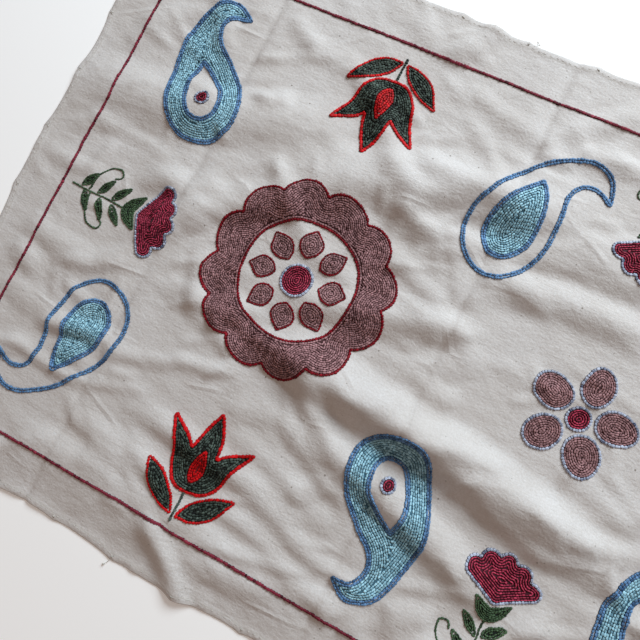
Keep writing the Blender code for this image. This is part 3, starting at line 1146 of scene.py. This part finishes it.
# %% [markdown]
# ## Cloth under the fillings
#
# Each point of the sheet is given its distance inside the nearest filled shape, below nothing where it
# lies outside. The shader cuts that smooth field half a millimetre inside the outline, which draws a
# much sharper edge than the grid has. Inside, the cloth is painted in the thread's dark tone: painted
# shade for the gaps between the rows.

# %% Which points lie under thread
FAR_OUTSIDE, MARGIN, NO_SHADE = -0.01, 0.008, (0.1, 0.1, 0.1, 1)

flat_points = np.stack([grid_u.ravel(), grid_v.ravel()], axis=1)
inside_motif = np.full(len(flat_points), FAR_OUTSIDE)
shade_below = np.zeros((len(flat_points), 4)) + NO_SHADE
for outline, hole, shade in filled:
    low, high = outline.min(0) - MARGIN, outline.max(0) + MARGIN
    near = np.flatnonzero(np.all((flat_points > low) & (flat_points < high), axis=1))
    here = flat_points[near]
    depth = nearest_distance(here, outline) * np.where(is_inside(here, outline), 1, -1)
    if hole is not None:
        out_of_hole = nearest_distance(here, hole) * np.where(is_inside(here, hole), -1, 1)
        depth = np.minimum(depth, out_of_hole)
    deeper = depth > inside_motif[near]
    inside_motif[near[deeper]] = depth[deeper]
    shade_below[near[deeper]] = shade

# %% The sheet's mesh
below = grid_u.size
corner = np.arange(below).reshape(grid_u.shape)
a, b = corner[:-1, :-1].ravel(), corner[1:, :-1].ravel()
c, d = corner[1:, 1:].ravel(), corner[:-1, 1:].ravel()
top = np.concatenate([np.stack([a, b, c], 1), np.stack([a, c, d], 1)])
rim = np.concatenate([corner[:, 0], corner[-1, 1:], corner[-2::-1, -1], corner[0, -2:0:-1]])
after = np.roll(rim, -1)
sides = np.concatenate(
    [np.stack([rim, rim + below, after], 1), np.stack([after, rim + below, after + below], 1)]
)
sheet = mesh_piece(
    "calico_sheet",
    np.concatenate([face.reshape(-1, 3), under.reshape(-1, 3)]),
    np.concatenate([top, top[:, ::-1] + below, sides]),
    calico,
    [
        ("inside_motif", "FLOAT", np.tile(inside_motif, 2)),
        ("shade_below", "FLOAT_COLOR", np.tile(shade_below, (2, 1))),
        ("from_edge", "FLOAT", np.tile(inset.ravel(), 2)),
    ],
)
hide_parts("cloth")
print("sheet triangles", len(sheet.data.polygons))

# %% [markdown]
# ## The border line
#
# One line of heavy chain stitch in madder red runs round the field, as straight as a hand keeps it
# without a ruler. A raised line looks pushed outwards in the picture. So where the cloth under the line
# stands higher than on average, the line is drawn back a little towards the foot of the camera, and where
# it stands lower, the other way.

# %% Border line
BORDER_INSET, BORDER_SLACK = 41 * MM, 3.0 * MM
BORDER_STEP, BORDER_WANDER = 5 * MM, 0.3 * MM


def round_the_cloth(inset, step):
    """Points along a rectangle that lies inset from the edge of the flat cut, back to its first corner."""
    x, y = CLOTH_WIDTH / 2 - inset, CLOTH_HEIGHT / 2 - inset
    return evenly(np.array([(-x, -y), (x, -y), (x, y), (-x, y)]), step, True)


border = drawn_by_hand(round_the_cloth(BORDER_INSET, BORDER_STEP)[:-1], wander=BORDER_WANDER)
beneath = on_cloth(border, np.zeros(len(border)), "face")[:, 2:]
pushed = (border - CAMERA_AT[:2]) * (beneath - beneath.mean()) / CAMERA_AT.z
border -= np.clip(pushed, -BORDER_SLACK, BORDER_SLACK)
line_runs["madder", "border"] = [(border, True)]

# %% [markdown]
# ## Both sides of the embroidery
#
# On the back of the cloth a chain stitch is only a short straight stitch, end to end with the next one.
# The rows are sewn a second time there, in low loops of six triangles, so the hanging can be turned over.

# %% Sew the motifs
BACK_HALF_WIDTH, BACK_HEIGHT = 0.46 * MM, 0.27 * MM
sewn = []
back_runs = {}
for colour, runs in fill_runs.items():
    filling = FILLINGS[FILLING_OF.get(colour, "plain")]
    sewn.append(sew(f"{colour}_filling", runs, filling.thread, thread_of[colour]))
    back_runs.setdefault((colour, filling.thread.pitch), []).extend(runs)
for (colour, kind), runs in line_runs.items():
    line = LINES[kind]
    sewn.append(sew(f"{colour}_{kind}_line", runs, line.thread, thread_of[colour]))
    back_runs.setdefault((colour, line.thread.pitch), []).extend(runs)
for number, ((colour, pitch), runs) in enumerate(back_runs.items()):
    back_thread = Thread(pitch, BACK_HALF_WIDTH, BACK_HEIGHT, BACK_LOOP)
    sewn.append(sew(f"{colour}_back_{number}", runs, back_thread, thread_of[colour], side="back"))

# %% [markdown]
# ## The hem's sewing
#
# The edge is turned under twice and held by small running stitches in the cloth's own colour, close to
# the inner fold of the hem. They run round the cloth on a rectangle, as the border does.

# %% Hem sewing
HEM_SEWING_INSET, HEM_STITCH_STEP, HEM_STITCH_SHARES = 3.9 * MM, 5.2 * MM, (0.35, 0.7)
HEM_THREAD = Thread(3.2 * MM, 0.30 * MM, 0.30 * MM, BACK_LOOP)

hem_thread = new_material("hem_thread", Roughness=0.85, Base_Color=(0.58, 0.55, 0.50, 1))[0]
track = round_the_cloth(HEM_SEWING_INSET, HEM_STITCH_STEP)
dashes = []
for here, onward in zip(track, track[1:]):
    dashes.append((np.array([here, here + (onward - here) * rng.uniform(*HEM_STITCH_SHARES)]), False))
sewn.append(sew("hem_sewing", dashes, HEM_THREAD, hem_thread))

# %% [markdown]
# ## Where the lacing pulled
#
# While it was worked, the cloth was laced to a frame through its hem. Each lacing hole is a small dark
# spot, with a few drawn threads crossed over it, at the points where the outline of the hem stands out.

# %% Lacing holes
HOLE_INSET, HOLE_SCATTER, THREAD_SCATTER = 3.4 * MM, 0.5 * MM, 0.4 * MM
HOLE_LENGTH, DRAWN_LENGTH, DRAWN_COUNT = 1.6 * MM, 3.4 * MM, 3
HOLE_THREAD = Thread(2.0 * MM, 0.55 * MM, 0.22 * MM, BACK_LOOP)
DRAWN_THREAD = Thread(3.0 * MM, 0.30 * MM, 0.55 * MM, BACK_LOOP)
hole_shade = new_material("hole_shade", Roughness=0.9, Base_Color=(0.150, 0.125, 0.100, 1))[0]

hole_x, hole_y = CLOTH_WIDTH / 2 - HOLE_INSET, CLOTH_HEIGHT / 2 - HOLE_INSET
along_x = np.arange(PULL_SPACING, CLOTH_WIDTH, PULL_SPACING) - CLOTH_WIDTH / 2
along_y = np.arange(PULL_SPACING, CLOTH_HEIGHT, PULL_SPACING) - CLOTH_HEIGHT / 2
pulls = [(x, side * hole_y) for x in along_x for side in (-1, 1)]
pulls += [(side * hole_x, y) for y in along_y for side in (-1, 1)]
holes, drawn = [], []
for middle in np.array(pulls):
    middle = middle + rng.normal(0, HOLE_SCATTER, 2)
    for runs, count, length in ((holes, 1, HOLE_LENGTH), (drawn, DRAWN_COUNT, DRAWN_LENGTH)):
        for heading in rng.uniform(0, math.pi, count):
            half = np.array((math.cos(heading), math.sin(heading))) * length / 2
            at = middle + rng.normal(0, THREAD_SCATTER, 2)
            runs.append((np.array([at - half, at + half]), False))
sewn.append(sew("lacing_holes", holes, HOLE_THREAD, hole_shade))
sewn.append(sew("drawn_threads", drawn, DRAWN_THREAD, hem_thread))

# %% [markdown]
# ## Loose ends
#
# A few ends of sewing thread stick out from under the hem, two of them knotted, and the cloth frays a
# little where the lacing of the embroidery frame pulled at it. Each end is a thin tube that bends down to
# the table.

# %% Loose ends
End = namedtuple("End", "x y heading length knot")
ENDS = (
    End(-0.268, -0.2600, -97, 0.0085, 0.00085),
    End(-0.209, -0.2600, -70, 0.0036, 0),
    End(-0.207, -0.2600, -105, 0.0042, 0),
    End(-0.184, 0.2580, 75, 0.0042, 0),
    End(-0.182, 0.2580, 112, 0.0052, 0),
    End(-0.146, 0.2580, 60, 0.0038, 0),
    End(-0.144, 0.2580, 98, 0.0050, 0),
    End(0.231, -0.2600, -80, 0.0075, 0.00070),
    End(0.317, 0.2580, 105, 0.0046, 0),
    End(0.319, 0.2580, 70, 0.0034, 0),
)
END_RADIUS, END_SIDES, END_STEPS = 0.20 * MM, 6, 12
END_CURL, END_DROP, KNOT_AT, KNOT_REACH = 38, 1.2, 0.9, 0.12
ALONG_END = np.linspace(0, 1, END_STEPS + 1)


def end_curve(end):
    """Points from inside the hem out over its edge and down to the table, with a slight curl."""
    headings = np.radians(end.heading + END_CURL * ALONG_END * rng.choice((-1, 1)))
    steps = np.stack([np.cos(headings), np.sin(headings)], axis=1) * end.length / END_STEPS
    flat = np.array((end.x, end.y)) + np.cumsum(steps, axis=0)
    start = on_cloth(np.array([(end.x, end.y)]), np.zeros(1), "face")[0, 2]
    low = 1.2 * END_RADIUS + end.knot
    return np.column_stack([flat, low + (start - low) * (1 - smooth_step(ALONG_END * END_DROP))])


# %% Tubes


def tube(curve, radii):
    """Points and triangles of a closed tube along a curve that lies nearly level."""
    ahead = np.gradient(curve, axis=0)
    ahead /= np.linalg.norm(ahead, axis=1, keepdims=True)
    aside = np.cross(ahead, (0, 0, 1))
    upwards = np.cross(aside, ahead)
    angles = np.linspace(0, 2 * math.pi, END_SIDES, endpoint=False)
    around = aside[:, None] * np.cos(angles)[:, None] + upwards[:, None] * np.sin(angles)[:, None]
    points = (curve[:, None] + around * radii[:, None, None]).reshape(-1, 3)
    triangles = []
    for k in range(len(curve) - 1):
        for m in range(END_SIDES):
            a, b = k * END_SIDES + m, k * END_SIDES + (m + 1) % END_SIDES
            triangles += [(a, a + END_SIDES, b + END_SIDES), (a, b + END_SIDES, b)]
    last = len(points) - END_SIDES
    triangles += [(0, m, m + 1) for m in range(1, END_SIDES - 1)]
    triangles += [(last, last + m + 1, last + m) for m in range(1, END_SIDES - 1)]
    return points, triangles


end_points, end_triangles = [], []
for end in ENDS:
    knot = end.knot * np.clip(1 - (np.abs(ALONG_END - KNOT_AT) / KNOT_REACH) ** 2, 0, 1)
    radii = END_RADIUS * (1 - 0.5 * (ALONG_END == 1)) + knot
    points, triangles = tube(end_curve(end), radii)
    end_triangles += [tuple(corner + len(end_points) for corner in triangle) for triangle in triangles]
    end_points += list(points)
sewn.append(mesh_piece("loose_ends", end_points, end_triangles, hem_thread))

# %% [markdown]
# ## Floor and light
#
# The light comes from a window beyond the top edge of the cloth: it rakes over the folds, so their far
# sides are bright and their near sides fall into soft shade. A pale floor, a dim sky and a weak warm
# light from the room behind fill the shadows.

# %% Floor
FLOOR_SIZE = 6.0
FLOOR_LOOK = {"Roughness": 0.9, "Base_Color": (0.93, 0.93, 0.93, 1)}
FLOOR_GLOW = {"Emission_Color": (1.0, 0.96, 0.92, 1), "Emission_Strength": 0.14}
floor_material = new_material("pale_floor", **FLOOR_LOOK, **FLOOR_GLOW)[0]
bpy.ops.mesh.primitive_plane_add(size=FLOOR_SIZE)
floor = bpy.context.object
floor.name = "floor"
floor.data.materials.append(floor_material)

# %% Lights


def area_light(name, at, aim, size, watts, colour):
    light = bpy.data.objects.new(name, bpy.data.lights.new(name, "AREA"))
    light.location = at
    light.rotation_euler = (Vector(aim) - Vector(at)).to_track_quat("-Z", "Y").to_euler()
    light.data.shape = "RECTANGLE"
    light.data.size, light.data.size_y = size
    light.data.energy = watts
    light.data.color = colour
    bpy.context.scene.collection.objects.link(light)


area_light("window", (0.32, 1.45, 0.94), (-0.15, 0.0, 0.0), (1.2, 0.7), 45, (0.832, 0.935, 1.0))
area_light("room", (-0.50, -1.50, 1.60), (-0.10, 0.0, 0.0), (1.8, 1.0), 6.5, (1.0, 0.64, 0.42))

world = bpy.data.worlds.new("sky")
world.use_nodes = True
world.node_tree.nodes["Background"].inputs["Color"].default_value = (1.0, 0.895, 0.86, 1)
world.node_tree.nodes["Background"].inputs["Strength"].default_value = 0.165
bpy.context.scene.world = world
bpy.context.scene.view_settings.view_transform = "Standard"

# %% Measure and finish
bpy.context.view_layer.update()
total = sum(len(piece.data.polygons) for piece in [sheet, *sewn])
print("triangles in all", total)
